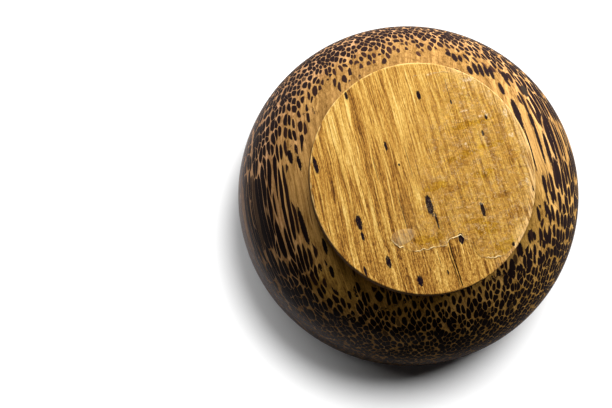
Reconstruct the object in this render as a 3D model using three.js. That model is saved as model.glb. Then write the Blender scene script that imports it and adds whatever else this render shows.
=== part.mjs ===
import * as THREE from "three";

// A turned wooden bowl lying mouth down, sizes in millimetres.
// The rim lies on the plane z = 0, the foot is on top, the turning axis is Z
// and the fibres of the wood run along Y.

// Outside of the bowl, with a flat landing for the foot
const widestRadius = 60;
const widestHeight = 25;
const rimRadius = 55;
const landingHeight = 57.7;
const landingMargin = 0.2;
const shoulderFullness = 2.4;

// Walls between the outside and the hollow
const sideThickness = 5.6;
const rimThickness = 5;
const bottomThickness = 5.7;
const hollowFullness = 3.2;

// Lip, rounded on both sides of the flat ring that it stands on
const lipRounding = 1.3;

// Foot disc, glued on with a short spigot in a recess of the bowl
const footRadius = 38.5;
const footHeight = 5;
const footChamfer = 0.4;
const spigotRadius = 14.7;
const spigotLength = 2;
const spigotClearance = 0.3;

// The disc has dried a little narrower across its fibres than along them
const acrossFibresShare = 0.981;
const alongFibresShare = 1.019;

// Film of glue between the bowl and its foot, kept back from the foot's edge
const glueThickness = 0.3;
const glueInset = 0.5;

// Steps of the turned shapes
const turnSteps = 72;
const wallSteps = 7;
const shoulderSteps = 12;
const lipSteps = 4;

const quarterTurn = Math.PI / 2;

// Sizes that follow from the ones above
const landingRadius = footRadius * alongFibresShare + landingMargin;
const footBottom = landingHeight + glueThickness;
const footTop = footBottom + footHeight;
const spigotBottom = footBottom - spigotLength;
const recessRadius = spigotRadius * alongFibresShare + spigotClearance;
const recessFloor = spigotBottom - spigotClearance;
const hollowRadius = widestRadius - sideThickness;
const mouthRadius = rimRadius - rimThickness;
const hollowHeight = recessFloor - bottomThickness;
const glueOuterRadius = footRadius - glueInset;
const glueInnerRadius = (recessRadius + glueInset) / acrossFibresShare;

const bodyMaterial = new THREE.MeshStandardMaterial({
  color: 0x6b3c1a,
  roughness: 0.45,
  metalness: 0,
});
const footMaterial = new THREE.MeshStandardMaterial({
  color: 0xc08437,
  roughness: 0.5,
  metalness: 0,
});
const glueMaterial = new THREE.MeshStandardMaterial({
  color: 0x2a170b,
  roughness: 0.35,
  metalness: 0,
});

// Turns a profile of [radius, height] points about Z.
function turned(name, profile, material) {
  const points = profile.map(([radius, height]) => new THREE.Vector2(radius, height));
  const geometry = new THREE.LatheGeometry(points, turnSteps);
  geometry.rotateX(quarterTurn);
  const mesh = new THREE.Mesh(geometry, material);
  mesh.name = name;
  return mesh;
}

// Gives a turned piece the oval of the dried disc.
function dried(mesh) {
  mesh.geometry.scale(acrossFibresShare, alongFibresShare, 1);
  return mesh;
}

// Radius of a side wall that falls in as a square curve from its widest height to its mouth.
function wallRadius(widest, mouth, height) {
  const share = (widestHeight - height) / widestHeight;
  return widest - (widest - mouth) * share ** 2;
}

// The side wall and the rounding of the lip that runs smoothly into it, from the floor up.
// The side is 1 for the outside of the wall and -1 for the inside.
function lipAndWall(widest, mouth, side) {
  const lean = Math.atan2(2 * (widest - mouth), widestHeight);
  const start = lipRounding * (1 - side * Math.sin(lean));
  const centre = wallRadius(widest, mouth, start) - side * lipRounding * Math.cos(lean);
  const sweep = quarterTurn - side * lean;
  const points = [];
  for (let i = 0; i <= lipSteps; i += 1) {
    const angle = (sweep * i) / lipSteps;
    const radius = centre + side * lipRounding * Math.sin(angle);
    const height = lipRounding - lipRounding * Math.cos(angle);
    points.push([radius, height]);
  }
  for (let i = 1; i < wallSteps; i += 1) {
    const height = start + ((widestHeight - start) * i) / wallSteps;
    points.push([wallRadius(widest, mouth, height), height]);
  }
  return points;
}

// The outer shoulder, a superellipse from the widest height up to the landing.
function shoulder() {
  const power = 2 / shoulderFullness;
  const endAngle = Math.acos((landingRadius / widestRadius) ** (1 / power));
  const rise = (landingHeight - widestHeight) / Math.sin(endAngle) ** power;
  const points = [];
  for (let i = 0; i <= shoulderSteps; i += 1) {
    const angle = (endAngle * i) / shoulderSteps;
    const radius = widestRadius * Math.cos(angle) ** power;
    const height = widestHeight + rise * Math.sin(angle) ** power;
    points.push([radius, height]);
  }
  return points;
}

// The ceiling of the hollow, a superellipse from the axis down to the widest height.
function ceiling() {
  const power = 2 / hollowFullness;
  const points = [[0, hollowHeight]];
  for (let i = shoulderSteps - 1; i >= 0; i -= 1) {
    const angle = (quarterTurn * i) / shoulderSteps;
    const radius = hollowRadius * Math.cos(angle) ** power;
    const height = widestHeight + (hollowHeight - widestHeight) * Math.sin(angle) ** power;
    points.push([radius, height]);
  }
  return points;
}

const bowlBody = turned(
  "bowl_body",
  [
    ...ceiling(),
    ...lipAndWall(hollowRadius, mouthRadius, -1).reverse(),
    ...lipAndWall(widestRadius, rimRadius, 1),
    ...shoulder(),
    [recessRadius, landingHeight],
    [recessRadius, recessFloor],
    [0, recessFloor],
  ],
  bodyMaterial,
);

const footDisc = dried(
  turned(
    "foot_disc",
    [
      [0, spigotBottom],
      [spigotRadius, spigotBottom],
      [spigotRadius, footBottom],
      [footRadius, footBottom],
      [footRadius, footTop - footChamfer],
      [footRadius - footChamfer, footTop],
      [0, footTop],
    ],
    footMaterial,
  ),
);

const glueFilm = dried(
  turned(
    "glue_film",
    [
      [glueInnerRadius, landingHeight],
      [glueOuterRadius, landingHeight],
      [glueOuterRadius, footBottom],
      [glueInnerRadius, footBottom],
      [glueInnerRadius, landingHeight],
    ],
    glueMaterial,
  ),
);

const bowl = new THREE.Group();
bowl.name = "wooden_bowl";
bowl.add(bowlBody, footDisc, glueFilm);

export default bowl;
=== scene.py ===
import math

import bpy
import numpy as np
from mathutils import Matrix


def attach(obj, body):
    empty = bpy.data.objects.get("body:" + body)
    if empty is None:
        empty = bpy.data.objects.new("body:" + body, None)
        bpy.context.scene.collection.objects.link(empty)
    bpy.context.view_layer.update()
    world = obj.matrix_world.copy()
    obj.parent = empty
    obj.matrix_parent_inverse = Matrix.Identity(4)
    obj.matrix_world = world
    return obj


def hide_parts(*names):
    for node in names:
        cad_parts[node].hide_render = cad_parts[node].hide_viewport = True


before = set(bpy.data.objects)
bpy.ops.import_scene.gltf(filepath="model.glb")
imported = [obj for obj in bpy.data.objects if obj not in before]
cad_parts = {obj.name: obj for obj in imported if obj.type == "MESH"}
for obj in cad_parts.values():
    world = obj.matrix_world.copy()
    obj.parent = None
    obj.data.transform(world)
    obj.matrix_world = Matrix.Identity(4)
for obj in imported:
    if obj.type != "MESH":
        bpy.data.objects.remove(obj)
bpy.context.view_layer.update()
mm = 0.001  # sizes below are in millimetres, meshes are in metres
print("frame loaded:", sorted(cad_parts))


# Small helpers for node trees

# Puts a shader node in a tree: its inputs are sockets to link or values, and a colour may have three numbers.
def put(tree, kind, inputs=None, **settings):
    made = tree.nodes.new("ShaderNode" + kind)
    for name, value in settings.items():
        setattr(made, name, value)
    for name, value in (inputs or {}).items():
        if isinstance(value, bpy.types.NodeSocket):
            tree.links.new(value, made.inputs[name])
        elif made.inputs[name].type == "RGBA" and len(value) == 3:
            made.inputs[name].default_value = (*value, 1)
        else:
            made.inputs[name].default_value = value
    return made


def calc(tree, operation, first, second=0.0, third=0.0):
    return put(tree, "Math", {0: first, 1: second, 2: third}, operation=operation).outputs[0]


def times(tree, first, second):
    return calc(tree, "MULTIPLY", first, second)


def timesPlus(tree, first, second, third):
    return calc(tree, "MULTIPLY_ADD", first, second, third)


def most(tree, first, second):
    return calc(tree, "MAXIMUM", first, second)


# Adds a share of how far a value is above its middle, 0.5.
def sway(tree, base, value, share):
    return timesPlus(tree, calc(tree, "SUBTRACT", value, 0.5), share, base)


def fromMiddle(tree, value):
    return calc(tree, "ABSOLUTE", calc(tree, "SUBTRACT", value, 0.5))


def vectorMath(tree, operation, *values, output=0, **named):
    inputs = {**dict(enumerate(values)), **named}
    return put(tree, "VectorMath", inputs, operation=operation).outputs[output]


def parts(tree, place):
    return put(tree, "SeparateXYZ", {0: place}).outputs


def grey(tree, value):
    return put(tree, "CombineColor", {0: value, 1: value, 2: value}).outputs[0]


def cells(tree, inputs, feature):
    return put(tree, "TexVoronoi", inputs, voronoi_dimensions="2D", feature=feature).outputs


def layer(tree, name):
    return put(tree, "Attribute", attribute_name=name).outputs["Fac"]


def moved(tree, vector, scale, offset=(0, 0, 0)):
    return put(tree, "Mapping", {"Vector": vector, "Scale": scale, "Location": offset}).outputs[0]


def cloud(tree, vector, scale, offset=(0, 0, 0), detail=2.0, rough=0.5, twist=0.0):
    made = put(tree, "TexNoise", {
        "Vector": moved(tree, vector, scale, offset), "Scale": 1.0,
        "Detail": detail, "Roughness": rough, "Distortion": twist})
    return made.outputs["Fac"]


def ease(tree, value, low, high, toLow=0.0, toHigh=1.0):
    made = put(tree, "MapRange",
               {"Value": value, "From Min": low, "From Max": high, "To Min": toLow, "To Max": toHigh},
               interpolation_type="SMOOTHSTEP")
    return made.outputs[0]


def blend(tree, factor, first, second, how="MIX"):
    made = put(tree, "Mix", {0: factor, 6: first, 7: second}, data_type="RGBA", blend_type=how)
    return made.outputs[2]


def ramp(tree, factor, stops):
    made = put(tree, "ValToRGB", {0: factor})
    elements = made.color_ramp.elements
    while len(elements) < len(stops):
        elements.new(0.5)
    for element, (place, colour) in zip(elements, stops):
        element.position = place
        element.color = (*colour, 1)
    return made.outputs[0]


def newGroup(name, inputs, outputs):
    tree = bpy.data.node_groups.new(name, "ShaderNodeTree")
    for label, kind in inputs.items():
        tree.interface.new_socket(name=label, in_out="INPUT", socket_type="NodeSocket" + kind)
    for label, kind in outputs.items():
        tree.interface.new_socket(name=label, in_out="OUTPUT", socket_type="NodeSocket" + kind)
    return tree, tree.nodes.new("NodeGroupInput").outputs, tree.nodes.new("NodeGroupOutput").inputs


def useGroup(tree, group, inputs):
    return put(tree, "Group", inputs, node_tree=group).outputs


# Shared effects of the wood

# Place in the wood in millimetres, with the fibres along Y. They wander a little and spread towards -Y.
def makeFibreField():
    tree, given, result = newGroup("fibreField", {"Place": "Vector"}, {"Fibre": "Vector", "Plain": "Vector"})
    plain = vectorMath(tree, "SCALE", given["Place"], Scale=1 / mm)
    wander = put(tree, "TexNoise",
                 {"Vector": moved(tree, plain, (0.05, 0.024, 0.05)), "Scale": 1.0, "Detail": 1.0})
    offset = parts(tree, wander.outputs["Color"])
    part = parts(tree, plain)
    spread = timesPlus(tree, part[1], fibres["spread"], 1.0)
    across = times(tree, part[0], spread)
    across = timesPlus(tree, offset[0], fibres["wander"], across)
    ripple = cloud(tree, plain, (0.45, 0.11, 0.45), (4, 0, 9), 1.0)
    across = timesPlus(tree, ripple, fibres["ripple"], across)
    down = timesPlus(tree, offset[2], fibres["wander"], part[2])
    fibre = put(tree, "CombineXYZ", {0: across, 1: part[1], 2: down}).outputs[0]
    tree.links.new(fibre, result["Fibre"])
    tree.links.new(plain, result["Plain"])
    return tree


# Light and dark strands along the fibres with thin dark lines between them, finer lines, hairs and a mottle.
def makeGrain():
    tree, given, result = newGroup(
        "woodGrain", {"Fibre": "Vector", "Width": "Float"},
        dict.fromkeys(("Strand", "Seam", "Broad", "Lines", "Mottle", "Pores", "Hair"), "Float"))
    thin = calc(tree, "DIVIDE", 1.0, given["Width"])
    part = parts(tree, given["Fibre"])
    aside = timesPlus(tree, part[2], 0.61, part[0])  # strands differ over the height as well
    aside, along = times(tree, aside, thin), times(tree, part[1], 0.022)
    strands = put(tree, "CombineXYZ", {0: aside, 1: along}).outputs[0]
    strands = {"Vector": strands, "Scale": 1.0, "Randomness": 1.0}
    cell, border = cells(tree, strands, "F1"), cells(tree, strands, "DISTANCE_TO_EDGE")
    tree.links.new(put(tree, "SeparateColor", {0: cell["Color"]}).outputs[0], result["Strand"])
    tree.links.new(ease(tree, border["Distance"], 0.0, 0.09, 1.0, 0.0), result["Seam"])
    hair = cloud(tree, given["Fibre"], (0.75, 0.018, 0.75), (9, 3, 1), 2.0, 0.6)
    hair = ease(tree, fromMiddle(tree, hair), 0.0, 0.018, 1.0, 0.0)
    broken = cloud(tree, given["Fibre"], (0.5, 0.09, 0.5), (2, 6, 4), 1.0)
    tree.links.new(times(tree, hair, ease(tree, broken, 0.42, 0.58)), result["Hair"])
    tree.links.new(cloud(tree, given["Fibre"], (0.28, 0.008, 0.28), (0, 0, 0), 1.5), result["Broad"])
    tree.links.new(cloud(tree, given["Fibre"], (1.9, 0.07, 1.9), (3, 8, 5), 3.0, 0.68), result["Lines"])
    tree.links.new(cloud(tree, given["Fibre"], (2.3, 1.0, 2.3), (0, 0, 0), 3.0, 0.75), result["Mottle"])
    tree.links.new(cloud(tree, given["Fibre"], (4.6, 0.55, 4.6), (1, 7, 3), 1.0), result["Pores"])
    return tree


# Dark fibre bundles in the plane across the fibres. A dot reaches as far as its size, and less towards a near
# neighbour, so dots are round with an uneven net between them. Few are there at a small depth under the foot.
def makeBundles():
    tree, given, result = newGroup(
        "palmBundles", {"Fibre": "Vector", "Depth": "Float", "Finer": "Float"},
        {"Bundle": "Float", "Chance": "Float"})
    bend = put(tree, "TexNoise",
               {"Vector": moved(tree, given["Fibre"], (0.16, 0.02, 0.16)), "Scale": 1.0, "Detail": 1.0})
    jag = put(tree, "TexNoise",
              {"Vector": moved(tree, given["Fibre"], (0.9, 0.035, 0.9)), "Scale": 1.0, "Detail": 2.5})
    place = vectorMath(tree, "MULTIPLY_ADD", bend.outputs["Color"], (bundles["bend"],) * 3, given["Fibre"])
    place = vectorMath(tree, "MULTIPLY_ADD", jag.outputs["Color"], (bundles["jag"],) * 3, place)
    part = parts(tree, place)
    flat = put(tree, "CombineXYZ", {0: part[0], 1: part[2]}).outputs[0]
    flat = put(tree, "Mapping", {
        "Vector": flat, "Rotation": (0, 0, bundles["turn"]), "Scale": (1, bundles["tall"], 1)}).outputs[0]
    finer = calc(tree, "GREATER_THAN", given["Finer"], 0.0)
    finer = timesPlus(tree, finer, bundles["finer"] - 1, 1.0)
    flat = vectorMath(tree, "SCALE", flat, Scale=finer)
    share = {"Vector": flat, "Scale": 1 / bundles["spacing"], "Randomness": bundles["scatter"]}
    near, second = cells(tree, share, "F1"), cells(tree, share, "F2")
    ratio = calc(tree, "DIVIDE", near["Distance"], second["Distance"])
    chance = put(tree, "SeparateColor", {0: near["Color"]}).outputs
    there = ease(tree, given["Depth"], *bundles["fill"])
    there = timesPlus(tree, there, 1.0 - bundles["stray"], bundles["stray"])
    present = ease(tree, calc(tree, "SUBTRACT", there, chance[0]), -0.01, 0.01)
    grown = ease(tree, given["Depth"], *bundles["growth"])
    clump = cloud(tree, given["Fibre"], (0.3, 0.03, 0.3), (7, 2, 2), 1.5)
    size = sway(tree, bundles["size"], chance[1], bundles["sizeSpread"])
    size = timesPlus(tree, grown, bundles["swell"], size)
    size = sway(tree, size, clump, bundles["clump"])
    ratio = times(tree, ratio, bundles["net"])
    wide = calc(tree, "SMOOTH_MAX", near["Distance"], ratio, 0.08)
    spot = ease(tree, calc(tree, "SUBTRACT", wide, size), -bundles["soft"], bundles["soft"], 1.0, 0.0)
    tree.links.new(times(tree, spot, present), result["Bundle"])
    tree.links.new(chance[2], result["Chance"])
    return tree


# A dark fleck: an ellipse along the fibres with a ragged edge, at a chosen place.
def makeFleck():
    tree, given, result = newGroup(
        "fleck", {"Plain": "Vector", "Place": "Vector", "Size": "Vector", "Ragged": "Float"},
        {"Mask": "Float"})
    away = vectorMath(tree, "SUBTRACT", given["Plain"], given["Place"])
    away = vectorMath(tree, "DIVIDE", away, given["Size"])
    far = vectorMath(tree, "LENGTH", away, output="Value")
    far = calc(tree, "ADD", far, given["Ragged"])
    tree.links.new(ease(tree, far, 0.82, 1.08, 1.0, 0.0), result["Mask"])
    return tree


fibres = {
    "spread": 0.0014,  # how much wider the fibres lie per mm towards -Y
    "wander": 1.6,
    "ripple": 0.9,
}
bundles = {
    "spacing": 1.8,
    "tall": 0.85,  # share of the height: below 1 the dots are taller than wide
    "turn": 0.9,  # so that the rows of dots don't stand upright
    "scatter": 0.72,
    "size": 0.42,  # radius of a dot as a share of the spacing
    "net": 0.64,  # how wide the net between dots is kept
    "sizeSpread": 0.15,
    "finer": 1.18,  # how much closer they stand at the -Y end
    "swell": 0.15,
    "clump": 0.17,
    "soft": 0.045,
    "bend": 2.6,
    "jag": 0.46,
    "stray": 0.05,
    "fill": (-1.5, 5.0),
    "growth": (2.0, 12.0),
}
fibreField = makeFibreField()
woodGrain = makeGrain()
palmBundles = makeBundles()
fleckMark = makeFleck()


def fleck(tree, plain, place, size, ragged):
    inputs = {"Plain": plain, "Place": place, "Size": size, "Ragged": ragged}
    return useGroup(tree, fleckMark, inputs)["Mask"]


def newMaterial(name):
    material = bpy.data.materials.new(name)
    material.use_nodes = True
    tree = material.node_tree
    shader = tree.nodes["Principled BSDF"]
    place = put(tree, "TexCoord").outputs["Object"]
    return material, tree, shader, place


def newWood(name, width):
    material, tree, shader, place = newMaterial(name)
    field = useGroup(tree, fibreField, {"Place": place})
    grain = useGroup(tree, woodGrain, {"Fibre": field["Fibre"], "Width": width})
    return material, tree, shader, field, grain


def finishMaterial(tree, shader, colour, roughness, height, look):
    lift = look["lift"] * mm
    bump = put(tree, "Bump", {"Height": height, "Distance": lift, "Strength": 1.0}).outputs[0]
    tree.links.new(colour, shader.inputs["Base Color"])
    tree.links.new(roughness, shader.inputs["Roughness"])
    tree.links.new(bump, shader.inputs["Normal"])
    shader.inputs["Coat Weight"].default_value = look["coat"]
    shader.inputs["Coat Roughness"].default_value = look["coatRoughness"]
    shader.inputs["Specular IOR Level"].default_value = look["shine"]


# Body of the bowl: dark palm wood

bodyWood = {
    "landing": 57.7,
    "deeper": 1.3,
    "start": 1.0,
    "uneven": 9.0,
    "tiltAcross": (-0.055, 0.03),  # at +X and at -X
    "tiltAlong": -0.07,
    "paleAcross": (0.003, 0.0012),  # how much paler per mm at +X and at -X, and towards +Y
    "paleAlong": -0.0045,
    "pale": (0.50, 0.276, 0.080),
    "orange": (0.60, 0.330, 0.125),
    "deep": (0.40, 0.20, 0.07),
    "line": (0.16, 0.07, 0.02),
    "finerFrom": -38.0,
    "bundle": (0.0135, 0.0077, 0.0077),
    "bundleBrown": (0.080, 0.033, 0.019),
    "patch": (0.040, 0.028, 0.020),
    "patchPlace": (44.6, 21.8, 50.9),
    "patchSize": (1.4, 2.6, 2.7),
    "lift": 0.07,  # height of the relief in mm
    "shine": 0.03,
    "coat": 0.0,
    "coatRoughness": 0.3,
}
# streaks beside the foot: place, then half sizes in the three directions
streaks = [
    ((27.0, 32.4, 56.3), (0.95, 2.2, 1.8)), ((29.2, 32.4, 55.4), (0.9, 2.9, 2.2)),
    ((31.0, 31.7, 55.0), (0.85, 3.3, 2.5)), ((32.8, 31.1, 54.5), (0.85, 2.8, 2.1)),
    ((34.4, 30.1, 54.1), (0.85, 3.1, 2.2)), ((21.8, 40.2, 54.0), (1.0, 1.2, 1.1)),
    ((23.5, 38.3, 54.6), (0.95, 2.5, 1.8)), ((25.3, 37.5, 54.4), (0.75, 1.9, 1.5)),
    ((35.8, 23.6, 55.9), (0.85, 3.0, 1.5)), ((39.0, 28.2, 52.2), (1.3, 2.4, 1.8)),
    ((38.3, 14.0, 57.0), (1.3, 7.8, 1.8)), ((43.0, 10.7, 55.0), (0.95, 3.6, 1.2)),
    ((-40.1, 19.2, 54.9), (0.9, 3.2, 1.2)), ((-37.9, 16.2, 56.8), (0.65, 3.4, 1.0)),
    ((-46.7, 3.4, 53.3), (0.6, 1.7, 0.8)), ((-42.2, -5.2, 56.0), (1.0, 8.0, 1.0)),
    ((-37.0, -21.9, 55.8), (0.75, 2.5, 1.2)), ((-37.2, -13.4, 57.6), (0.7, 3.2, 1.0)),
    ((40.7, -11.8, 56.1), (0.9, 4.2, 1.2)), ((39.1, -19.4, 55.4), (0.65, 3.0, 1.3)),
    ((35.7, -21.2, 56.6), (0.7, 3.3, 1.3)), ((42.6, -16.8, 54.0), (0.7, 2.6, 1.3)),
    ((35.1, -28.0, 54.6), (0.65, 2.7, 1.6)), ((36.8, -29.3, 53.1), (0.85, 2.8, 2.0)),
    ((32.4, -27.8, 56.0), (0.7, 1.8, 1.2)), ((30.3, -28.1, 56.7), (0.55, 2.6, 1.3)),
    ((40.2, -22.2, 53.9), (0.5, 2.6, 1.4)), ((39.15, 0.8, 57.6), (0.35, 9.0, 1.2)),
    ((43.2, 3.5, 55.3), (0.65, 9.5, 1.9)), ((45.8, 0.0, 54.0), (0.9, 6.5, 1.9)),
    ((46.9, -8.5, 52.4), (0.75, 6.0, 1.8)), ((46.2, 11.5, 52.5), (0.6, 5.0, 1.6)),
    ((48.2, 4.0, 51.6), (0.8, 11.0, 2.1)), ((49.6, 3.0, 50.5), (0.8, 9.5, 2.1)),
    ((26.3, -31.2, 57.0), (0.9, 3.2, 1.6)), ((31.4, -32.8, 54.3), (0.65, 1.8, 1.5)),
    ((28.6, -34.2, 54.8), (0.65, 2.2, 1.7)), ((33.4, -36.1, 51.3), (1.1, 1.7, 1.6)),
    ((25.2, -37.1, 54.7), (0.85, 1.8, 1.5)), ((28.2, -37.7, 53.1), (0.75, 1.7, 1.5)),
    ((22.5, -35.2, 56.5), (0.75, 2.1, 1.4)), ((21.1, -37.7, 55.7), (1.15, 2.3, 1.6)),
    ((18.7, -39.7, 55.2), (0.9, 2.4, 1.6)), ((16.1, -40.4, 55.5), (0.75, 2.1, 1.4)),
]


# places with few bundles, or with more where the last number is below 0:
# place, half sizes, and how much less deep they count
clears = [
    ((-41.0, 8.0, 56.1), (2.2, 9.0, 2.0), 9.0), ((41.0, 3.0, 56.4), (1.3, 8.5, 1.4), 9.0),
    ((-35.0, -25.0, 55.6), (5.0, 6.0, 3.0), 3.0), ((-33.0, 26.0, 56.0), (7.0, 10.0, 3.0), -3.5),
    ((23.0, -37.0, 56.0), (10.0, 6.5, 3.5), -4.0), ((-37.5, -29.0, 51.5), (9.0, 12.0, 5.5), 5.5),
]


def makeBodyMaterial():
    w = bodyWood
    material, tree, shader, field, grain = newWood("palmBody", 1.3)
    plain = field["Plain"]
    part = parts(tree, plain)
    uneven = cloud(tree, plain, (0.09, 0.045, 0.12), (5, 2, 8))
    depth = timesPlus(tree, part[2], -w["deeper"], w["landing"] * w["deeper"] + w["start"])
    tilts = [times(tree, part[0], tilt) for tilt in w["tiltAcross"]]
    depth = calc(tree, "ADD", calc(tree, "MINIMUM", *tilts), depth)
    depth = timesPlus(tree, part[1], w["tiltAlong"], depth)
    depth = sway(tree, depth, uneven, w["uneven"])
    ragged = sway(tree, 0.0, grain["Mottle"], 0.8)
    for spot, size, amount in clears:
        mark = fleck(tree, plain, spot, size, ragged)
        depth = timesPlus(tree, mark, -amount, depth)
    finer = sway(tree, part[1], grain["Mottle"], 8.0)
    finer = calc(tree, "SUBTRACT", w["finerFrom"], finer)
    depth = timesPlus(tree, calc(tree, "GREATER_THAN", finer, 0.0), -1.2, depth)
    dark = useGroup(tree, palmBundles, {"Fibre": field["Fibre"], "Depth": depth, "Finer": finer})

    # ground between the bundles: golden near the foot, orange deeper down
    ground = blend(tree, ease(tree, depth, 0.5, 8.0), w["pale"], w["orange"])
    ground = blend(tree, ease(tree, depth, 16.0, 42.0), ground, w["deep"])
    tone = timesPlus(tree, grain["Strand"], 0.5, 0.42)
    tone = timesPlus(tree, grain["Broad"], 0.5, tone)
    tone = sway(tree, tone, grain["Mottle"], 0.9)
    tone = sway(tree, tone, grain["Lines"], 1.8)
    streaky = cloud(tree, field["Fibre"], (0.95, 0.022, 0.95), (6, 4, 2), 2.0, 0.6)
    tone = sway(tree, tone, streaky, 1.1)
    sides = [times(tree, part[0], pale) for pale in w["paleAcross"]]
    paler = calc(tree, "ADD", most(tree, *sides), 1.0)
    paler = timesPlus(tree, most(tree, part[1], 0.0), w["paleAlong"], paler)
    nearFoot = ease(tree, depth, 3.0, 13.0, 1.0, 0.3)
    paler = timesPlus(tree, calc(tree, "SUBTRACT", paler, 1.0), nearFoot, 1.0)
    tone = times(tree, tone, paler)
    # yellower towards -Y, and deeper down greyer towards -X and +Y: the greyer part is a painted sheen of
    # reflected floor
    deeper = timesPlus(tree, part[0], -0.005, timesPlus(tree, part[1], 0.006, 1.0))
    blue = calc(tree, "SUBTRACT", ease(tree, part[1], -28.0, 2.0, 0.72, 1.05), deeper)
    blue = timesPlus(tree, blue, nearFoot, deeper)
    blue = times(tree, calc(tree, "POWER", tone, 1.3), blue)
    green = calc(tree, "POWER", tone, 1.1)
    tint = put(tree, "CombineColor", {0: tone, 1: green, 2: blue}).outputs[0]
    ground = blend(tree, 1.0, ground, tint, "MULTIPLY")
    lines = most(tree, ease(tree, grain["Lines"], 0.54, 0.66), grain["Seam"])
    lines = most(tree, lines, grain["Hair"])
    lines = most(tree, lines, ease(tree, streaky, 0.36, 0.46, 0.9, 0.0))
    ground = blend(tree, times(tree, lines, 0.5), ground, w["line"])

    # the bundles themselves, browner where they are few
    brown = times(tree, ease(tree, depth, 1.0, 7.0, 0.5, 0.0), dark["Chance"])
    core = blend(tree, brown, w["bundle"], w["bundleBrown"])
    # painted light: bundles and streaks are painted lighter towards +X and +Y, where the light falls, and
    # darker towards -X and -Y
    paintedLightOnBundles = ease(tree, timesPlus(tree, part[1], 0.8, part[0]), -45.0, 45.0, 0.7, 1.5)
    paintedLightOnBundles = grey(tree, paintedLightOnBundles)
    core = blend(tree, 1.0, core, paintedLightOnBundles, "MULTIPLY")
    streak = None
    for spot, size in streaks:
        mark = fleck(tree, plain, spot, size, ragged)
        streak = mark if streak is None else most(tree, streak, mark)
    colour = blend(tree, dark["Bundle"], ground, core)
    colour = blend(tree, streak, colour, blend(tree, 1.0, w["bundle"], paintedLightOnBundles, "MULTIPLY"))
    filled = fleck(tree, plain, w["patchPlace"], w["patchSize"], ragged)
    colour = blend(tree, filled, colour, w["patch"])

    rough = timesPlus(tree, grain["Mottle"], 0.1, 0.08)
    rough = timesPlus(tree, dark["Bundle"], -0.04, rough)
    height = timesPlus(tree, dark["Bundle"], 0.5, times(tree, grain["Lines"], -0.5))
    height = timesPlus(tree, grain["Pores"], -0.4, height)
    finishMaterial(tree, shader, colour, rough, height, w)
    return material


# Foot disc: light palm wood

footWood = {
    "stops": [
        (0.0, (0.09, 0.033, 0.010)),
        (0.25, (0.29, 0.122, 0.022)),
        (0.5, (0.55, 0.282, 0.054)),
        (0.75, (0.78, 0.480, 0.118)),
        (1.0, (0.95, 0.68, 0.24)),
    ],
    "tone": 0.512,  # where on the ramp the plain wood lies
    "fleck": (0.010, 0.005, 0.010),
    "crack": (0.030, 0.022, 0.016),
    "side": (0.045, 0.020, 0.007),
    "edge": (0.86, 0.58, 0.22),
    "strip": (0.94, 0.62, 0.27),
    "radii": (37.77, 39.23),
    "lift": 0.12,
    "shine": 0.2,
    "coat": 0.0,
    "coatRoughness": 0.3,
}
# place across and along the fibres, then half width and half length
flecks = [
    (-17.4, 33.1, 0.62, 1.5), (6.2, 27.3, 0.73, 1.75), (16.2, 22.3, 0.36, 0.9), (26.2, 14.4, 0.5, 1.0),
    (23.6, 9.4, 0.45, 1.1), (-9.2, 13.4, 0.52, 1.7), (-6.6, 6.2, 0.4, 0.5), (-33.6, 13.0, 0.83, 3.2),
    (-0.5, -9.6, 1.2, 3.9), (0.5, -14.9, 0.36, 3.3), (16.4, -15.4, 0.78, 2.6), (-24.7, -9.1, 1.09, 3.0),
    (-24.8, -13.8, 0.55, 1.8), (6.7, -23.0, 1.1, 2.0), (-18.8, -24.2, 0.88, 2.35), (-10.4, -32.9, 1.0, 2.0),
    (-0.7, -32.5, 0.34, 0.9), (23.1, -29.1, 0.54, 0.8), (-27.1, -25.2, 0.5, 1.9), (34.8, -12.9, 0.28, 1.1),
]
# long dark hair lines: place, half width and half length
hairs = [
    (16.2, 26.6, 0.16, 5.6), (1.7, -17.6, 0.13, 3.4), (-14.6, 6.5, 0.13, 4.5), (10.5, -9.0, 0.12, 5.0),
    (-9.8, -9.5, 0.17, 7.6), (-3.2, 6.0, 0.13, 6.0), (20.4, -3.0, 0.12, 5.0), (-2.2, -27.5, 0.12, 3.0),
]


# How far out a place on the foot is: 0 inside the first share of its oval, 1 outside the second.
def edgeShare(tree, field, first, last):
    across, along = footWood["radii"]
    flat = vectorMath(tree, "MULTIPLY", field["Plain"], (1 / across, 1 / along, 0))
    return ease(tree, vectorMath(tree, "LENGTH", flat, output="Value"), first, last)


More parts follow.
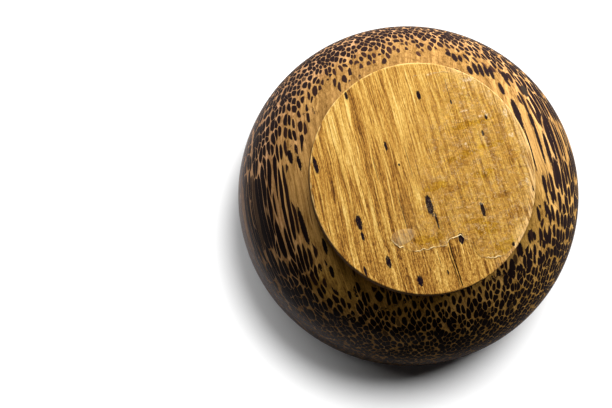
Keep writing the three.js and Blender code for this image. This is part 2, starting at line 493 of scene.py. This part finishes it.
# The foot's colour is a ramp over a tone, and each part of the grain adds to the tone or takes from it.
def footColour(tree, field, grain):
    w = footWood
    part = parts(tree, field["Plain"])
    bold = ease(tree, part[0], -20.0, 8.0, 1.0, 0.45)  # the strands are boldest on the -X side
    tone = sway(tree, 0.0, grain["Strand"], 0.42)
    tone = timesPlus(tree, grain["Seam"], -0.24, tone)
    tone = times(tree, tone, bold)
    calm = ease(tree, part[1], -20.0, 6.0, 0.72, 1.0)  # finer grain towards -Y
    tone = sway(tree, tone, grain["Broad"], 0.35)
    tone = times(tree, tone, calm)
    tone = sway(tree, tone, grain["Lines"], 1.5)
    fine = ease(tree, part[1], -26.0, 6.0, 1.6, 0.9)
    tone = sway(tree, tone, grain["Mottle"], fine)
    tone = timesPlus(tree, ease(tree, grain["Pores"], 0.6, 0.72), -0.22, tone)
    tone = timesPlus(tree, grain["Hair"], -0.26, tone)
    # painted shade: the foot is painted a little darker away from the light, towards -Y
    tone = timesPlus(tree, part[1], 0.002, tone)  # a little darker towards -Y
    tone = calc(tree, "ADD", tone, w["tone"])
    colour = ramp(tree, tone, w["stops"])
    strip = ease(tree, part[0], 12.0, 26.0, 0.0, 0.75)
    strip = times(tree, edgeShare(tree, field, 0.87, 0.96), strip)
    strip = times(tree, strip, ease(tree, grain["Lines"], 0.40, 0.56, 0.1, 1.0))
    colour = blend(tree, strip, colour, w["strip"])
    ragged = sway(tree, 0.0, grain["Mottle"], 0.8)
    marks = manyMarks(tree, field["Plain"], flecks, ragged)
    marks = times(tree, marks, ease(tree, grain["Mottle"], 0.54, 0.68, 1.0, 0.8))
    thin = times(tree, manyMarks(tree, field["Plain"], hairs, ragged), 0.75)
    # painted shade: the crack is painted dark in step with the depth of its groove
    split = layer(tree, "split")
    colour = blend(tree, most(tree, thin, split), colour, w["crack"])
    colour = blend(tree, marks, colour, w["fleck"])
    return colour, marks


def manyMarks(tree, plain, places, ragged):
    found = None
    for x, y, width, length in places:
        mark = fleck(tree, plain, (x, y, 62.0), (width, length, 4.0), ragged)
        found = mark if found is None else most(tree, found, mark)
    return found


def makeFootMaterial():
    w = footWood
    material, tree, shader, field, grain = newWood("footWood", 1.35)
    colour, marks = footColour(tree, field, grain)
    # the edge is paler towards +Y, partly worn and partly a painted highlight on the chamfer, and the side is
    # dark with painted shade
    part = parts(tree, field["Plain"])
    top = ease(tree, part[2], 62.68, 62.92)
    patchy = cloud(tree, field["Plain"], (0.35, 0.35, 0.1), (1, 9, 0), 2.0, 0.6)
    wearAndHighlight = times(tree, ease(tree, part[1], -24.0, 0.0), ease(tree, patchy, 0.35, 0.65, 0.0, 0.8))
    wearAndHighlight = times(tree, edgeShare(tree, field, 0.984, 0.993), wearAndHighlight)
    colour = blend(tree, times(tree, wearAndHighlight, top), colour, w["edge"])
    # painted shade: the foot's side is painted nearly black all round
    side = times(tree, calc(tree, "SUBTRACT", 1.0, top), 0.85)
    colour = blend(tree, side, colour, w["side"])
    rough = timesPlus(tree, grain["Mottle"], 0.2, 0.42)
    height = timesPlus(tree, grain["Lines"], 0.6, times(tree, grain["Mottle"], 0.7))
    height = timesPlus(tree, grain["Seam"], -0.3, height)
    height = timesPlus(tree, grain["Hair"], -0.3, height)
    height = timesPlus(tree, grain["Pores"], -0.4, height)
    finishMaterial(tree, shader, colour, rough, height, w)
    return material


filmLook = {
    "yellowing": 0.9,
    "shading": 0.6,
    "threads": 0.36,
    "tint": (0.90, 0.89, 0.70),
    "milk": (0.60, 0.33, 0.085),
    "olive": (0.85, 0.80, 0.38),
    "umber": (0.62, 0.50, 0.36),
    "scuff": (0.88, 0.70, 0.46),
    # the torn edge's colour, partly a painted highlight
    "tornEdgeAndGlint": (1.0, 0.80, 0.43),
    "lift": 0.12,
    "shine": 0.35,
    "coat": 0.12,
    "coatRoughness": 0.3,
}
# place, then half width and half length, in mm
stains = [(21.5, 13.4, 6.5, 1.1), (26.0, 4.9, 4.8, 1.3), (14.5, 3.4, 5.0, 1.4), (3.0, -4.0, 5.0, 1.2),
          (19.9, -3.6, 4.0, 1.2), (-2.0, -20.5, 6.0, 1.6), (12.0, -18.5, 6.0, 1.0), (17.5, -21.6, 5.0, 2.6),
          (21.0, -28.5, 4.0, 2.4)]
shadows = [(14.5, 1.5, 2.8, 1.8), (31.0, 1.0, 1.0, 3.6), (8.5, -6.0, 3.0, 1.4), (24.0, -12.0, 3.0, 1.2),
           (28.0, -20.0, 3.2, 2.6)]
scuffs = [(19.7, 18.2, 1.5, 0.3), (25.9, 16.4, 0.9, 0.6), (24.4, 15.2, 0.9, 0.5), (17.0, 6.7, 0.35, 1.0),
          (32.8, 6.2, 1.0, 0.8), (35.6, -5.2, 0.4, 1.5), (24.0, 28.3, 1.8, 0.7), (21.6, 26.0, 1.0, 0.5),
          (29.6, 22.4, 0.8, 1.6), (33.0, 14.2, 0.6, 1.6), (12.0, 33.2, 2.4, 0.35), (16.2, -13.5, 1.0, 0.3),
          (26.6, 15.3, 0.6, 0.8), (33.6, -9.5, 0.5, 1.2)]


# Remains of clear film: the foot's wood seen through it, darker and yellower, with white scuffs and wrinkles.
def makeFilmMaterial():
    w = filmLook
    material, tree, shader, field, grain = newWood("clearFilm", 1.35)
    plain = field["Plain"]
    wood, marks = footColour(tree, field, grain)
    cover = layer(tree, "cover")
    smear = cloud(tree, plain, (0.16, 0.3, 0.1), (3, 1, 0), 4.0, 0.65, 0.6)
    rubbed = cloud(tree, plain, (0.55, 0.85, 0.1), (6, 2, 0), 4.0, 0.74, 1.4)
    ragged = sway(tree, 0.0, smear, 3.5)
    colour = blend(tree, times(tree, cover, w["yellowing"]), wood, w["tint"], "MULTIPLY")
    milky = times(tree, cover, ease(tree, smear, 0.38, 0.62, 0.1, 0.38))
    colour = blend(tree, milky, colour, w["milk"])
    pale = sway(tree, 1.0, rubbed, 2.0)
    lit = grey(tree, pale)
    lit = blend(tree, 1.0, colour, lit, "MULTIPLY")
    colour = blend(tree, times(tree, cover, 0.8), colour, lit)
    stain = manyMarks(tree, plain, stains, ragged)
    vein = fromMiddle(tree, cloud(tree, plain, (0.22, 0.5, 0.1), (5, 5, 0), 3.0, 0.6, 1.0))
    stain = times(tree, stain, ease(tree, vein, 0.05, 0.14, 1.0, 0.5))
    vein = times(tree, cover, ease(tree, vein, 0.0, 0.035, 0.4, 0.0))
    stain = most(tree, stain, vein)
    colour = blend(tree, stain, colour, w["olive"], "MULTIPLY")
    shadow = manyMarks(tree, plain, shadows, ragged)
    colour = blend(tree, times(tree, shadow, w["shading"]), colour, w["umber"], "MULTIPLY")
    colour = blend(tree, times(tree, marks, 0.9), colour, footWood["fleck"])

    # the film is crumpled: folds of a few millimetres with sharper creases, mostly across the fibres
    folds = cloud(tree, plain, (0.3, 0.62, 0.1), (2, 6, 0), 3.0, 0.55, 0.8)
    crease = fromMiddle(tree, folds)
    crease = times(tree, ease(tree, crease, 0.0, 0.1, 1.0, 0.0), cover)
    bent = moved(tree, plain, (0.5, 0.5, 0.1))
    bent = put(tree, "TexNoise", {"Vector": bent, "Detail": 3.0})
    bent = vectorMath(tree, "MULTIPLY_ADD", bent.outputs["Color"], (2.6, 2.6, 0), plain)
    bent = {"Vector": moved(tree, bent, (0.16, 0.34, 0.05)), "Scale": 1.0}
    wrinkle = cells(tree, bent, "DISTANCE_TO_EDGE")["Distance"]
    wrinkle = times(tree, ease(tree, wrinkle, 0.0, 0.07, 1.0, 0.0), ease(tree, cover, 0.3, 0.8))
    patchy = cloud(tree, plain, (0.3, 0.4, 0.1), (8, 8, 0), 2.0)
    wrinkle = times(tree, wrinkle, ease(tree, patchy, 0.45, 0.6))
    thread = cloud(tree, plain, (0.7, 0.9, 0.1), (1, 4, 0), 2.0, 0.5, 1.6)
    thread = ease(tree, fromMiddle(tree, thread), 0.0, 0.045, 1.0, 0.0)
    sparse = cloud(tree, plain, (0.45, 0.5, 0.1), (7, 3, 0), 2.0, 0.6)
    thread = times(tree, times(tree, thread, cover), ease(tree, sparse, 0.47, 0.6))
    tornEdgeAndGlint = layer(tree, "tornEdgeAndGlint")
    speck = ease(tree, grain["Mottle"], 0.44, 0.6)
    speck = times(tree, speck, 0.75)
    wearAndHighlight = times(tree, manyMarks(tree, plain, scuffs, ragged), speck)
    white = most(tree, times(tree, thread, w["threads"]), wearAndHighlight)
    colour = blend(tree, white, colour, w["scuff"])
    # painted highlight: the torn edge is painted bright, partly the whitish torn film
    colour = blend(tree, ease(tree, tornEdgeAndGlint, 0.0, 0.7), colour, w["tornEdgeAndGlint"])
    rough = timesPlus(tree, grain["Mottle"], 0.2, 0.3)
    height = timesPlus(tree, crease, 0.25, times(tree, grain["Mottle"], 0.6))
    height = timesPlus(tree, smear, 1.0, height)
    height = timesPlus(tree, wrinkle, 0.5, height)
    height = timesPlus(tree, grain["Lines"], 0.4, height)
    finishMaterial(tree, shader, colour, rough, height, w)
    return material


dropLook = {
    "pale": (0.60, 0.40, 0.19),
    "lift": 0.05,
    "shine": 0.5,
    "coat": 0.4,
    "coatRoughness": 0.15,
}


def makeDropMaterial():
    w = dropLook
    material, tree, shader, field, grain = newWood("dryAdhesive", 1.35)
    colour, marks = footColour(tree, field, grain)
    patchy = cloud(tree, field["Plain"], (0.45, 0.45, 0.1), (2, 2, 0), 2.0, 0.6)
    colour = blend(tree, ease(tree, patchy, 0.35, 0.65, 0.2, 0.58), colour, w["pale"])
    rough = timesPlus(tree, grain["Mottle"], 0.3, 0.2)
    finishMaterial(tree, shader, colour, rough, grain["Mottle"], w)
    return material


glueLook = {
    "dark": (0.018, 0.010, 0.006),
    "amber": (0.10, 0.045, 0.012),
    "lift": 0.05,
    "shine": 0.5,
    "coat": 0.4,
    "coatRoughness": 0.15,
}


def makeGlueMaterial():
    w = glueLook
    material, tree, shader, place = newMaterial("darkGlue")
    uneven = cloud(tree, place, (900, 900, 900), (0, 0, 0), 4.0, 0.6)
    colour = blend(tree, ease(tree, uneven, 0.4, 0.7), w["dark"], w["amber"])
    rough = ease(tree, uneven, 0.3, 0.7, 0.2, 0.5)
    finishMaterial(tree, shader, colour, rough, uneven, w)
    return material


bodyMaterial = makeBodyMaterial()
footMaterial = makeFootMaterial()
filmMaterial = makeFilmMaterial()
dropMaterial = makeDropMaterial()
glueMaterial = makeGlueMaterial()
print("materials made")


# Meshes

sharpAngle = 35


# Makes a piece of points in millimetres and of faces, turned so that the faces look outwards.
def makePiece(name, points, faces, material):
    points = np.asarray(points, float) * mm
    mesh = bpy.data.meshes.new(name)
    mesh.from_pydata(points.tolist(), [], faces)
    mesh.update()
    mesh.validate()
    mesh.calc_loop_triangles()
    corners = np.empty(len(mesh.loop_triangles) * 3, np.int32)
    mesh.loop_triangles.foreach_get("vertices", corners)
    tri = points[corners.reshape(-1, 3)]
    volume = np.einsum("ij,ij->i", tri[:, 0], np.cross(tri[:, 1], tri[:, 2])).sum()
    if volume < 0:
        mesh.flip_normals()
    mesh.polygons.foreach_set("use_smooth", np.ones(len(mesh.polygons), bool))
    mesh.set_sharp_from_angle(angle=math.radians(sharpAngle))
    mesh.materials.append(material)
    piece = bpy.data.objects.new(name, mesh)
    bpy.context.scene.collection.objects.link(piece)
    print("piece", name, len(mesh.loop_triangles), "triangles")
    return piece


# Faces between rows of a grid of point numbers, one row after the other.
def gridFaces(numbers):
    a, b = numbers[:-1, :-1].ravel(), numbers[:-1, 1:].ravel()
    c, d = numbers[1:, 1:].ravel(), numbers[1:, :-1].ravel()
    return np.stack([a, b, c, d], 1).tolist()


def ringFaces(numbers):
    return gridFaces(np.concatenate([numbers, numbers[:, :1]], 1))


def poleFaces(pole, first, second):
    return [[pole, int(p), int(q)] for p, q in zip(first, second)]


# A profile of radius and height turned about Z. It starts and ends on the axis.
def turnedPoints(profile, turns):
    inner = profile[1:-1]
    angle = np.arange(turns) / turns * 2 * np.pi
    ring = np.stack([np.cos(angle), np.sin(angle)], 1)
    points = np.empty((len(inner), turns, 3))
    points[..., :2] = inner[:, None, :1] * ring[None]
    points[..., 2] = inner[:, None, 1]
    numbers = np.arange(len(inner) * turns).reshape(len(inner), turns)
    faces = ringFaces(numbers)
    first, last = len(inner) * turns, len(inner) * turns + 1
    after = np.roll(numbers, -1, 1)
    faces += poleFaces(first, after[0], numbers[0])
    faces += poleFaces(last, numbers[-1], after[-1])
    poles = [[0, 0, profile[0][1]], [0, 0, profile[-1][1]]]
    return np.concatenate([points.reshape(-1, 3), poles]), faces


footSizes = {
    "radius": 38.5,
    "across": 0.981,
    "along": 1.019,
    "bottom": 58.0,
    "top": 63.0,
    "chamfer": 0.35,
    "spigotRadius": 14.7,
    "spigotBottom": 56.0,
    "chords": 400,
    "chordSteps": 150,
    "crackSpan": (1.1, 3.4),
}
bowlSizes = {
    "widestRadius": 60.0,
    "widestHeight": 25.0,
    "rimRadius": 55.0,
    "landingHeight": 57.7,
    "landingRadius": footSizes["radius"] * footSizes["along"] + 0.2,
    "landingStep": 36.0,
    "shoulderFullness": 2.4,
    "sideThickness": 5.6,
    "rimThickness": 5.0,
    "hollowHeight": 50.0,
    "hollowFullness": 3.2,
    "lipRounding": 1.3,
    "recessRadius": footSizes["spigotRadius"] * footSizes["along"] + 0.3,
    "recessFloor": 55.7,
    "turns": 320,
}


# A side wall that falls in as a square curve to the rim, with a lip that is rounded smoothly into it.
def lipAndWall(widest, mouth, side, steps):
    s = bowlSizes
    lean = math.atan2(2 * (widest - mouth), s["widestHeight"])
    start = s["lipRounding"] * (1 - side * math.sin(lean))

    def wall(height):
        return widest - (widest - mouth) * ((s["widestHeight"] - height) / s["widestHeight"]) ** 2

    centre = wall(start) - side * s["lipRounding"] * math.cos(lean)
    angle = np.linspace(0, math.pi / 2 - side * lean, 12)
    radius = s["lipRounding"]
    lip = np.stack([centre + side * radius * np.sin(angle), radius * (1 - np.cos(angle))], 1)
    height = np.linspace(start, s["widestHeight"], steps)[1:-1]
    return np.concatenate([lip, np.stack([wall(height), height], 1)])


# A superellipse from the widest place up to a radius.
def superCurve(widest, low, high, fullness, endRadius, steps):
    power = 2 / fullness
    end = math.acos((endRadius / widest) ** (1 / power))
    angle = np.linspace(0, end, steps)
    rise = (high - low) / math.sin(end) ** power
    return np.stack([widest * np.cos(angle) ** power, low + rise * np.sin(angle) ** power], 1)


def makeBody():
    s = bowlSizes
    hollow = s["widestRadius"] - s["sideThickness"]
    ceiling = superCurve(hollow, s["widestHeight"], s["hollowHeight"], s["hollowFullness"], 0.0, 56)[::-1]
    ceiling[0] = (0, s["hollowHeight"])
    shoulder = superCurve(s["widestRadius"], s["widestHeight"], s["landingHeight"],
                          s["shoulderFullness"], s["landingRadius"], 84)
    profile = np.concatenate([
        ceiling,
        lipAndWall(hollow, s["rimRadius"] - s["rimThickness"], -1, 40)[::-1],
        lipAndWall(s["widestRadius"], s["rimRadius"], 1, 46),
        shoulder,
        [[s["landingStep"], s["landingHeight"]], [s["recessRadius"], s["landingHeight"]],
         [s["recessRadius"], s["recessFloor"]], [0, s["recessFloor"]]],
    ])
    points, faces = turnedPoints(profile, s["turns"])
    piece = makePiece("bowlShell", points, faces, bodyMaterial)
    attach(piece, "root")
    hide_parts("bowl_body")


# Smooth noise in one direction: random heights joined by a cosine curve.
def waver(place, step, seed):
    heights = np.random.default_rng(seed).uniform(-1, 1, 400)
    at = place / step + 200
    low = np.floor(at).astype(int)
    share = (1 - np.cos((at - low) * np.pi)) / 2
    return heights[low % 400] * (1 - share) + heights[(low + 1) % 400] * share


cracks = [
    # points across and along the fibres, half width, depth
    ([(2.45, -22.0), (2.4, -27.0), (2.55, -31.0), (2.8, -38.6)], 0.2, 0.6),
    ([(1.6, -24.2), (1.6, -28.0), (1.85, -33.0), (2.05, -38.0)], 0.12, 0.35),
]


# Depth of the cracks at a place: a groove with a rounded section that follows its points.
def crackDepth(x, y):
    depth = np.zeros_like(x)
    for points, half, deep in cracks:
        px, py = np.array(points).T
        middle = np.interp(y, py[::-1], px[::-1]) + 0.08 * waver(y, 1.3, 5)
        inside = np.clip(np.minimum(y - py.min(), py.max() - y) / 1.5, 0, 1)
        depth += deep * inside * np.clip(1 - ((x - middle) / half) ** 2, 0, 1)
    return depth


# The top is made of chords along the fibres: x follows the sine of an angle and y its cosine times a share.
# Rings at the same points then go down the side, under the disc and round the spigot.
def makeFoot():
    s = footSizes
    a, b = s["radius"] * s["across"], s["radius"] * s["along"]
    flatA, flatB = a - s["chamfer"], b - s["chamfer"]
    angle = np.linspace(-math.pi / 2, math.pi / 2, s["chords"] + 1)[1:-1]
    share = np.linspace(-1, 1, s["chordSteps"])
    finer = np.linspace(*s["crackSpan"], 46)
    across = np.unique(np.concatenate([flatA * np.sin(angle), finer]))
    x = np.repeat(across[:, None], len(share), 1)
    y = flatB * np.sqrt(1 - (across / flatA) ** 2)[:, None] * share[None]
    edge = 1 - np.hypot(x / flatA, y / flatB)
    relief = 0.035 * waver(x, 1.1, 1) * (1 + 0.4 * waver(y, 14, 2)) + 0.02 * waver(x, 0.45, 3)
    relief = relief * np.clip(edge / 0.02, 0, 1)
    z = s["top"] - 0.06 * np.clip(edge / 0.02, 0, 1) + relief - crackDepth(x, y)
    top = np.stack([x, y, z], 2)
    rows, columns = top.shape[:2]
    numbers = np.arange(rows * columns).reshape(rows, columns)
    points = [top.reshape(-1, 3)]
    faces = gridFaces(numbers)
    leftPole, rightPole = rows * columns, rows * columns + 1
    points.append(np.array([[-flatA, 0, s["top"]], [flatA, 0, s["top"]]]))
    faces += poleFaces(leftPole, numbers[0, 1:], numbers[0, :-1])
    faces += poleFaces(rightPole, numbers[-1, :-1], numbers[-1, 1:])
    # the edge of the top as one ring, and how it stands round the oval
    loop = np.concatenate([[leftPole], numbers[:, 0], [rightPole], numbers[::-1, -1]])
    flat = np.concatenate(points)[loop]
    unit = np.stack([flat[:, 0] / flatA, flat[:, 1] / flatB], 1)
    unit /= np.hypot(unit[:, 0], unit[:, 1])[:, None]
    bend = np.linspace(0, math.pi / 2, 5)[1:]
    rings = [(a - s["chamfer"] * (1 - math.sin(t)), b - s["chamfer"] * (1 - math.sin(t)),
              s["top"] - s["chamfer"] * (1 - math.cos(t))) for t in bend]
    low, high = 0.25, s["top"] - s["bottom"] - s["chamfer"]
    rings += [(a, b, s["bottom"] + share * high) for share in (0.8, 0.5, 0.2)]
    rings += [(a, b, s["bottom"] + low), (a - low, b - low, s["bottom"])]
    spigotA, spigotB = s["spigotRadius"] * s["across"], s["spigotRadius"] * s["along"]
    rings += [(spigotA, spigotB, s["bottom"]), (spigotA, spigotB, s["spigotBottom"])]
    count = rightPole + 1
    before = loop
    for ringA, ringB, height in rings:
        ring = np.stack([unit[:, 0] * ringA, unit[:, 1] * ringB, np.full(len(unit), height)], 1)
        points.append(ring)
        here = count + np.arange(len(ring))
        both = np.stack([before, here])
        faces += ringFaces(both)
        before = here
        count += len(ring)
    points.append(np.array([[0, 0, s["spigotBottom"]]]))
    after = np.roll(before, -1)
    faces += poleFaces(count, after, before)
    points = np.concatenate(points)
    piece = makePiece("footDisc", points, faces, footMaterial)
    # the crack's painted shade follows the depth of its groove
    split = np.zeros(len(points), np.float32)
    split[:x.size] = np.clip(crackDepth(x, y) / 0.25, 0, 1).ravel()
    piece.data.attributes.new("split", "FLOAT", "POINT").data.foreach_set("value", split)
    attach(piece, "root")
    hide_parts("foot_disc")


makeBody()
makeFoot()

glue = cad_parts["glue_film"]
glue.data.materials.clear()
glue.data.materials.append(glueMaterial)
print("bowl made")


# Remains of clear film on the foot

filmSizes = {
    "thickness": 0.06,
    "curl": 0.2,
    "level": 62.95,
    "fade": 15.0,
    "across": 300,
    "along": 130,
}
# edges of the film as places across and along the fibres, from -X to +X
filmOutline = {
    "upper": [(-16.1, -17.4), (-13.9, -11.1), (-8.3, 1.3), (-1.8, 17.1), (6.6, 34.3), (11.4, 33.8),
              (16.5, 33.2), (21.9, 31.0), (26.2, 28.0), (30.3, 23.0), (33.6, 16.5), (35.6, 9.0), (36.3, 0.2)],
    "lower": [(-16.1, -17.4), (-13.9, -20.7), (-12.3, -21.2), (-9.1, -23.4), (-6.4, -23.4), (1.4, -24.1),
              (2.7, -22.0), (7.0, -21.5), (8.8, -26.1), (11.1, -30.1), (15.7, -32.2), (20.2, -31.8),
              (26.4, -26.6), (31.2, -19.5), (34.7, -10.0), (36.3, 0.2)],
}


# how much of the torn edge and its painted highlight shows at a place across the fibres
filmTears = [
    (-16.2, 0.2), (-15.6, 1), (-13.2, 1), (-12.4, 0.15), (-9.8, 0.1), (-9.0, 0.8), (-5.0, 0.9), (-2.5, 0.5),
    (1.0, 0.5), (2.4, 0.9), (4.6, 0.75), (7.2, 1), (7.6, 0.25), (12.6, 0.2), (13.4, 0.9), (17.6, 0.9),
    (18.2, 0.3), (40, 0.4),
]


# The film is a sheet of strips along the fibres: each runs from the lower edge to the upper edge at its x.
# The torn parts of both edges are ragged, stand up a little and carry a painted highlight.
def makeFilm():
    s = filmSizes
    turn = np.linspace(0, np.pi, s["across"] + 2)[1:-1]
    first, last = filmOutline["lower"][0][0], filmOutline["lower"][-1][0]
    x = first + (last - first) * (1 - np.cos(turn)) / 2
    upper = np.interp(x, *np.array(filmOutline["upper"]).T)
    lower = np.interp(x, *np.array(filmOutline["lower"]).T)
    ragged = 0.35 * waver(x, 1.6, 20) + 0.2 * waver(x, 0.6, 21)
    lowerTorn = np.clip((20.5 - x) / 2, 0, 1)
    upperTorn = np.clip((x - 5.5) / 1.5, 0, 1) * np.clip((25.5 - x) / 1.5, 0, 1)
    lower = lower + ragged * lowerTorn
    upper = upper + 0.6 * ragged[::-1] * upperTorn
    v = (1 - np.cos(np.linspace(0, np.pi, s["along"]))) / 2
    y = lower[:, None] * (1 - v) + upper[:, None] * v
    x = np.repeat(x[:, None], len(v), 1)
    tornEdgeAndGlint = np.clip(1 - (y - lower[:, None]) / 0.4, 0, 1) * lowerTorn[:, None]
    tornEdgeAndGlint = np.maximum(tornEdgeAndGlint, np.clip(1 - (upper[:, None] - y) / 0.3, 0, 1) * upperTorn[:, None])
    seen = np.interp(x, *np.array(filmTears).T)
    tornEdgeAndGlint *= seen * np.clip(0.75 + 0.4 * waver(x, 1.7, 60), 0.05, 1)
    rise = s["curl"] * tornEdgeAndGlint ** 1.5
    # distance from the soft edge on the -X side, which is the first part of the upper edge
    soft = np.array(filmOutline["upper"][:5])
    line = (soft[-1] - soft[0]) / np.hypot(*(soft[-1] - soft[0]))
    inside = (x - soft[0, 0]) * line[1] - (y - soft[0, 1]) * line[0]
    cover = np.clip((inside + 1.5 * waver(y, 3.0, 70)) / s["fade"], 0, 1)
    cover = np.maximum(cover, 0.5 * np.clip(1 - (y - lower[:, None]) / 3, 0, 1) * lowerTorn[:, None])
    sink = 0.09 * np.clip(1 - cover / 0.12, 0, 1)
    rows, columns = x.shape
    top = np.dstack([x, y, s["level"] + s["thickness"] + rise - sink])
    under = np.dstack([x, y, s["level"] - 0.15 + rise * 0.6])
    count = rows * columns
    numbers = np.arange(count).reshape(rows, columns)
    faces = gridFaces(numbers) + gridFaces(numbers[::-1] + count)
    loop = np.concatenate([numbers[0, :-1], numbers[:-1, -1], numbers[-1, :0:-1], numbers[:0:-1, 0]])
    both = np.stack([loop + count, loop])
    faces += ringFaces(both)
    points = np.concatenate([top.reshape(-1, 3), under.reshape(-1, 3)])
    piece = makePiece("clearFilm", points, faces, filmMaterial)
    for label, values in (("tornEdgeAndGlint", tornEdgeAndGlint), ("cover", cover)):
        stored = piece.data.attributes.new(label, "FLOAT", "POINT")
        stored.data.foreach_set("value", np.tile(values.ravel(), 2).astype(np.float32))
    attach(piece, "root")


dropSizes = {
    "place": (-12.0, -17.4),
    "reach": (3.9, 2.7),
    "height": 0.16,
    "level": 63.0,
}


# A flat drop of dried adhesive: a dome whose height falls with the square of the share of its reach.
def makeDrop():
    s = dropSizes
    turns, steps = 96, 18
    angle = np.arange(turns) / turns * 2 * np.pi
    reach = 1 + 0.10 * np.sin(2 * angle + 0.6) + 0.06 * np.sin(3 * angle + 1) + 0.03 * np.sin(5 * angle)
    share = np.linspace(0, 1, steps + 1)[1:]
    x = s["place"][0] + s["reach"][0] * share[:, None] * (reach * np.cos(angle))[None]
    y = s["place"][1] + s["reach"][1] * share[:, None] * (reach * np.sin(angle))[None]
    uneven = 1 + 0.2 * np.sin(4 * x / 3) * np.cos(y)
    z = s["level"] + 0.05 + s["height"] * (1 - share[:, None] ** 2.5) * uneven
    numbers = np.arange(steps * turns).reshape(steps, turns)
    faces = ringFaces(numbers)
    pole, foot = steps * turns, steps * turns + 1
    after = np.roll(numbers, -1, 1)
    faces += poleFaces(pole, after[0], numbers[0])
    faces += poleFaces(foot, numbers[-1], after[-1])
    ends = [[*s["place"], s["level"] + 0.05 + s["height"]], [*s["place"], s["level"] - 0.05]]
    points = np.concatenate([np.stack([x, y, z], 2).reshape(-1, 3), ends])
    piece = makePiece("adhesiveDrop", points, faces, dropMaterial)
    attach(piece, "root")


makeFilm()
makeDrop()
print("film made")


# Floor, light and camera

studio = {
    "floor": (0.9, 0.9, 0.9),
    "floorRadius": 8,  # metres
    "floorMirrored": (0.14, 0.125, 0.12),
    "floorMirroredLeft": (0.66, 0.58, 0.56),
    "floorBounce": (0.16, 0.155, 0.15),
    "backdrop": 1.1,
    "fill": 0.012,
    "fillColour": (0.95, 0.95, 1.0),
    "lampDistance": 400,
    "lampPower": {"key": 3.0, "side": 2.0, "top": 0.10},
    "lampTurn": {"key": 82, "side": 14, "top": 225},
    "lampHeight": {"key": 32, "side": 14, "top": 84},
    "lampWidth": {"key": 340, "side": 280, "top": 340},
    "lampColour": {"key": (1, 1, 1), "side": (1, 1, 1), "top": (1, 0.86, 0.55)},
    "sunPower": {"high": 4.21, "low": 1.64},
    "sunTurn": {"high": 47.2, "low": 117.2},
    "sunHeight": {"high": 67.5, "low": 38.9},
    "sunWidth": {"high": 28.5, "low": 56},
    "cameraPlace": (-0.10298, -0.07027, 0.61535),
    "cameraTurn": (8.793, -4.313, -15.373),
    "lens": 100,
}


def makeStudio():
    s = studio
    mesh = bpy.data.meshes.new("floor")
    angle = np.arange(64) / 64 * 2 * np.pi
    ring = np.stack([np.cos(angle), np.sin(angle), np.zeros(64)], 1) * s["floorRadius"]
    mesh.from_pydata(ring.tolist(), [], [list(range(64))])
    floor = bpy.data.objects.new("floor", mesh)
    bpy.context.scene.collection.objects.link(floor)
    material = bpy.data.materials.new("floor")
    material.use_nodes = True
    tree = material.node_tree
    tree.nodes.clear()
    bright = put(tree, "BsdfDiffuse", {"Color": s["floor"]})
    ray = put(tree, "LightPath").outputs
    both = bright.outputs[0]
    across = parts(tree, put(tree, "TexCoord").outputs["Object"])[0]
    mirrored = ease(tree, across, -0.08, -0.03)
    mirrored = blend(tree, mirrored, s["floorMirroredLeft"], s["floorMirrored"])
    for kind, colour in (("Is Glossy Ray", mirrored), ("Is Diffuse Ray", s["floorBounce"])):
        dim = put(tree, "BsdfDiffuse", {"Color": colour})
        both = put(tree, "MixShader", {0: ray[kind], 1: both, 2: dim.outputs[0]}).outputs[0]
    tree.links.new(both, put(tree, "OutputMaterial").inputs["Surface"])
    mesh.materials.append(material)

    world = bpy.data.worlds.new("studio")
    bpy.context.scene.world = world
    world.use_nodes = True
    tree = world.node_tree
    tree.nodes.clear()
    fill = put(tree, "Background", {"Color": s["fillColour"], "Strength": s["fill"]})
    white = put(tree, "Background", {"Color": (1, 1, 1, 1), "Strength": s["backdrop"]})
    seen = put(tree, "LightPath").outputs["Is Camera Ray"]
    both = put(tree, "MixShader", {0: seen, 1: fill.outputs[0], 2: white.outputs[0]})
    tree.links.new(both.outputs[0], put(tree, "OutputWorld").inputs["Surface"])

    # two low soft lights and a weak one above are for the bowl, two wide suns for the floor and its shadow
    onlyFloor = bpy.data.collections.new("onlyFloor")
    onlyFloor.objects.link(floor)
    notFloor = bpy.data.collections.new("notFloor")
    notFloor.objects.link(floor)
    notFloor.collection_objects[0].light_linking.link_state = "EXCLUDE"

    def addLight(name, kind, height, turn, receivers):
        lamp = bpy.data.lights.new(name + "Light", kind)
        light = bpy.data.objects.new(name + "Light", lamp)
        light.rotation_euler = (0, math.radians(90 - height), math.radians(turn))
        bpy.context.scene.collection.objects.link(light)
        light.light_linking.receiver_collection = receivers
        return light, lamp

    for name, power in s["lampPower"].items():
        height, turn = s["lampHeight"][name], s["lampTurn"][name]
        light, lamp = addLight(name, "AREA", height, turn, notFloor)
        lamp.shape = "DISK"
        lamp.size = s["lampWidth"][name] * mm
        lamp.energy = power
        lamp.color = s["lampColour"][name]
        away = s["lampDistance"] * mm
        level, across = math.radians(height), math.radians(turn)
        aside = away * math.cos(level)
        up = bowlSizes["landingHeight"] * mm + away * math.sin(level)
        light.location = (aside * math.cos(across), aside * math.sin(across), up)
        light.visible_camera = False
        light.visible_glossy = False
    for name, power in s["sunPower"].items():
        light, lamp = addLight(name, "SUN", s["sunHeight"][name], s["sunTurn"][name], onlyFloor)
        lamp.energy = power
        lamp.angle = math.radians(s["sunWidth"][name])

    lens = bpy.data.cameras.new("camera")
    lens.lens = s["lens"]
    lens.sensor_width = 36
    lens.clip_start = 0.01
    camera = bpy.data.objects.new("camera", lens)
    camera.location = s["cameraPlace"]
    camera.rotation_euler = [math.radians(t) for t in s["cameraTurn"]]
    bpy.context.scene.collection.objects.link(camera)
    bpy.context.scene.camera = camera
    bpy.context.scene.view_settings.view_transform = "Standard"
    bpy.context.scene.view_settings.look = "None"


makeStudio()
print("studio made")
